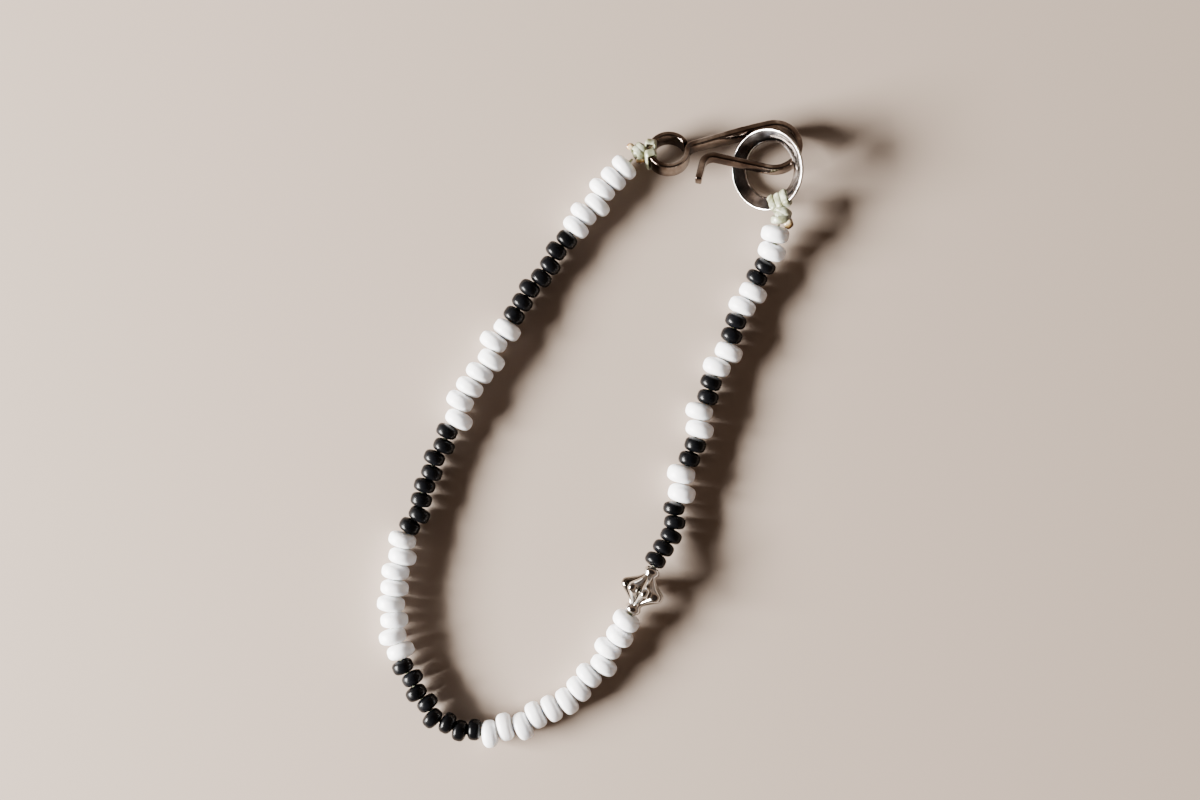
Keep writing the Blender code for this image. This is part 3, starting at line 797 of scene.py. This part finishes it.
def addKnotLoop(bm, place, along, halfWidth, halfHeight, lean, swing, flat):
    tipped = place @ Matrix.Translation((0, 0, along * mm)) @ Matrix.Rotation(math.radians(lean), 4, "X")
    tipped = tipped @ Matrix.Rotation(math.radians(swing), 4, "Y")
    line, outs = [], []
    for step in range(knots["loopSteps"]):
        angle = math.tau * step / knots["loopSteps"]
        out = Vector((math.cos(angle) / halfWidth, math.sin(angle) / halfHeight, 0.0)).normalized()
        spot = Vector((halfWidth * math.cos(angle), halfHeight * math.sin(angle), 0.0))
        line.append(tipped @ (spot * mm))
        outs.append(tipped.to_3x3() @ out)
    addTube(bm, line, 0.5 * mm, closed=True, outs=outs, flat=flat)


def addKnotCore(bm, place, size):
    made = bmesh.ops.create_icosphere(bm, subdivisions=3, radius=1.0)["verts"]
    shape = Matrix.Diagonal((*(value * mm for value in size), 1.0))
    bmesh.ops.transform(bm, matrix=place @ shape, verts=made)


def makeMeltedEnds(name, knot, ends):
    # a bead of melted cord, darker towards its outward end and its underside
    bm = bmesh.new()
    endDarkening = bm.verts.layers.float.new("endDarkening")
    for x, y, z, wide, tall, deep in ends:
        made = bmesh.ops.create_icosphere(bm, subdivisions=3, radius=1.0)["verts"]
        outward = Vector((x, y)).normalized()
        for vert in made:
            reach = outward.x * vert.co.x + outward.y * vert.co.y
            vert[endDarkening] = 0.5 + 0.5 * reach - 0.25 * vert.co.z
            lump = math.sin(3 * vert.co.x + 1.7) * math.sin(4 * vert.co.y)
            vert.co *= 1.0 + 0.10 * lump - 0.12 * max(0.0, reach)
        shape = Matrix((picture(wide, 0), picture(0, tall), picture(0, 0, deep))).transposed().to_4x4()
        place = Matrix.Translation(knot + picture(x, y, z) * mm) @ Matrix.Scale(mm, 4) @ shape
        bmesh.ops.transform(bm, matrix=place, verts=made)
    finishPiece(bm, name, meltedCord)


def makeRingKnot():
    bm = bmesh.new()
    flat = (knots["cordWidth"], knots["cordThickness"])
    outer, inner = ring["outer"] / 2, ring["inner"] / 2
    middle = (outer + inner) / 2
    slope = math.atan2(ring["dish"], outer - inner)
    toMiddle = ringPlace @ Matrix.Rotation(math.radians(knots["wrapAngle"]), 4, "Z")
    lay = Matrix.Rotation(math.pi / 2, 4, "X") @ Matrix.Rotation(slope, 4, "Z")
    bandWidth = (outer - inner) / math.cos(slope) + ring["edge"] * math.sin(slope)
    halfWidth = bandWidth / 2 - knots["wrapTuck"]
    halfHeight = ring["edge"] * math.cos(slope) / 2
    for wrap in range(knots["wraps"]):
        aside = (wrap - (knots["wraps"] - 1) / 2) * knots["wrapPitch"]
        inward = middle - math.sqrt(middle ** 2 - aside ** 2)
        spot = Vector((middle - inward, aside, -(ring["dish"] + ring["edge"]) / 2)) * mm
        lean = Matrix.Rotation(math.radians(knots["wrapLean"]), 4, "Z")
        addStrand(bm, toMiddle @ Matrix.Translation(spot) @ lean @ lay, halfWidth, halfHeight, flat)
    knot = Vector(knots["ringKnot"]) * mm
    place = placeAlong(knot, directionAt(stringLength))
    addKnotCore(bm, place, knots["ringCore"])
    for loop in knots["ringLoops"]:
        addKnotLoop(bm, place, *loop, flat)
    finishPiece(bm, "ringKnot", waxedCord, ["knot_at_ring"])
    makeMeltedEnds("ringKnotEnd", knot, knots["ringEnds"])


def makeHookKnot():
    bm = bmesh.new()
    flat = (knots["cordWidth"] * knots["eyeCordShare"], knots["cordThickness"])
    width, wall = hook["eyeWidth"], hook["eyeWall"]
    lay = Matrix.Rotation(math.pi / 2, 4, "X")
    for degrees, slant in knots["strands"]:
        roundEye = hookPlace @ Matrix.Rotation(math.radians(degrees), 4, "Z")
        onWall = Matrix.Translation((hook["eyeRadius"] * mm, 0, 0))
        slanted = onWall @ Matrix.Rotation(math.radians(slant), 4, "X") @ lay
        addStrand(bm, roundEye @ slanted, wall / 2, width / 2 / math.cos(math.radians(slant)), flat)
    knot = Vector(knots["hookKnot"]) * mm
    place = placeAlong(knot, directionAt(0.0))
    addKnotCore(bm, place, knots["hookCore"])
    for loop in knots["hookLoops"]:
        addKnotLoop(bm, place, *loop, flat)
    finishPiece(bm, "hookKnot", waxedCord, ["knot_at_hook"])
    makeMeltedEnds("hookKnotEnds", knot, knots["hookEnds"])


makeRingKnot()
makeHookKnot()
print("knots made")


# floor, light and camera

studio = {
    "floorColour": (0.348, 0.276, 0.223),
    "floorSize": 3.0,
    "floorDrop": 0.02,
    "cameraHeight": 249.0,
    "cameraAt": (2.852, 0.847),
    "lens": 50.0,
    "roomStrength": 0.5,
}


def makeFloor():
    bm = bmesh.new()
    bmesh.ops.create_grid(bm, x_segments=2, y_segments=2, size=studio["floorSize"] / 2)
    bmesh.ops.translate(bm, vec=up * -studio["floorDrop"] * mm, verts=bm.verts)
    mesh = bpy.data.meshes.new("floor")
    bm.to_mesh(mesh)
    bm.free()
    paleFloor = newMaterial("paleFloor", Roughness=0.75, Base_Color=(*studio["floorColour"], 1.0))[0]
    mesh.materials.append(paleFloor)
    floor = bpy.data.objects.new("floor", mesh)
    bpy.context.scene.collection.objects.link(floor)


def addLight(name, azimuth, elevation, distance, width, height, power, colour):
    # azimuth runs from the picture's right towards its top
    a, e = math.radians(azimuth), math.radians(elevation)
    away = picture(math.cos(a) * math.cos(e), math.sin(a) * math.cos(e), math.sin(e))
    light = bpy.data.lights.new(name, "AREA")
    light.shape = "RECTANGLE"
    light.size, light.size_y = width, height
    light.energy = power
    light.color = colour
    lamp = bpy.data.objects.new(name, light)
    lamp.location = away * distance
    lamp.rotation_euler = away.to_track_quat("Z", "Y").to_euler()
    bpy.context.scene.collection.objects.link(lamp)


def makeCamera():
    lens = bpy.data.cameras.new("camera")
    lens.lens = studio["lens"]
    lens.sensor_width = 36.0
    lens.clip_start = 0.01
    camera = bpy.data.objects.new("camera", lens)
    x, y = studio["cameraAt"]
    place = Matrix.Translation(Vector((x, y, studio["cameraHeight"])) * mm)
    camera.matrix_world = place @ Matrix((picture(1, 0), picture(0, 1), up)).transposed().to_4x4()
    bpy.context.scene.collection.objects.link(camera)
    bpy.context.scene.camera = camera


def makeRoom():
    # a room bright on the lamp's side, dim on the other and dark straight above
    world = bpy.data.worlds.new("softRoom")
    world.use_nodes = True
    nodes, links = world.node_tree.nodes, world.node_tree.links
    background = nodes["Background"]
    coords = nodes.new("ShaderNodeTexCoord")
    towards = nodes.new("ShaderNodeVectorMath")
    towards.operation = "DOT_PRODUCT"
    towards.inputs[1].default_value = picture(-0.92, -0.39)
    links.new(coords.outputs["Generated"], towards.inputs[0])
    sides = addRamp(nodes, links, towards.outputs["Value"],
                    [(0.05, (0.62, 0.54, 0.49)), (0.70, (0.28, 0.24, 0.22)), (0.91, (0.34, 0.32, 0.32)),
                     (0.985, (1.7, 1.7, 1.75))])
    height = nodes.new("ShaderNodeSeparateXYZ")
    links.new(coords.outputs["Generated"], height.inputs["Vector"])
    above = addRamp(nodes, links, height.outputs["Z"],
                    [(0.10, (0.55, 0.58, 0.66)), (0.45, (1.0, 0.88, 0.78)), (0.68, (0.95, 0.76, 0.62)),
                     (0.80, (0.10, 0.08, 0.07))])
    room = nodes.new("ShaderNodeVectorMath")
    room.operation = "MULTIPLY"
    links.new(sides.outputs["Color"], room.inputs[0])
    links.new(above.outputs["Color"], room.inputs[1])
    links.new(room.outputs["Vector"], background.inputs["Color"])
    background.inputs["Strength"].default_value = studio["roomStrength"]
    bpy.context.scene.world = world


makeFloor()
addLight("sideLamp", 190.0, 20.8, 0.85, 0.50, 0.23, 76.0, (1.0, 0.97, 0.94))
makeCamera()
makeRoom()
print("floor, light and camera made")
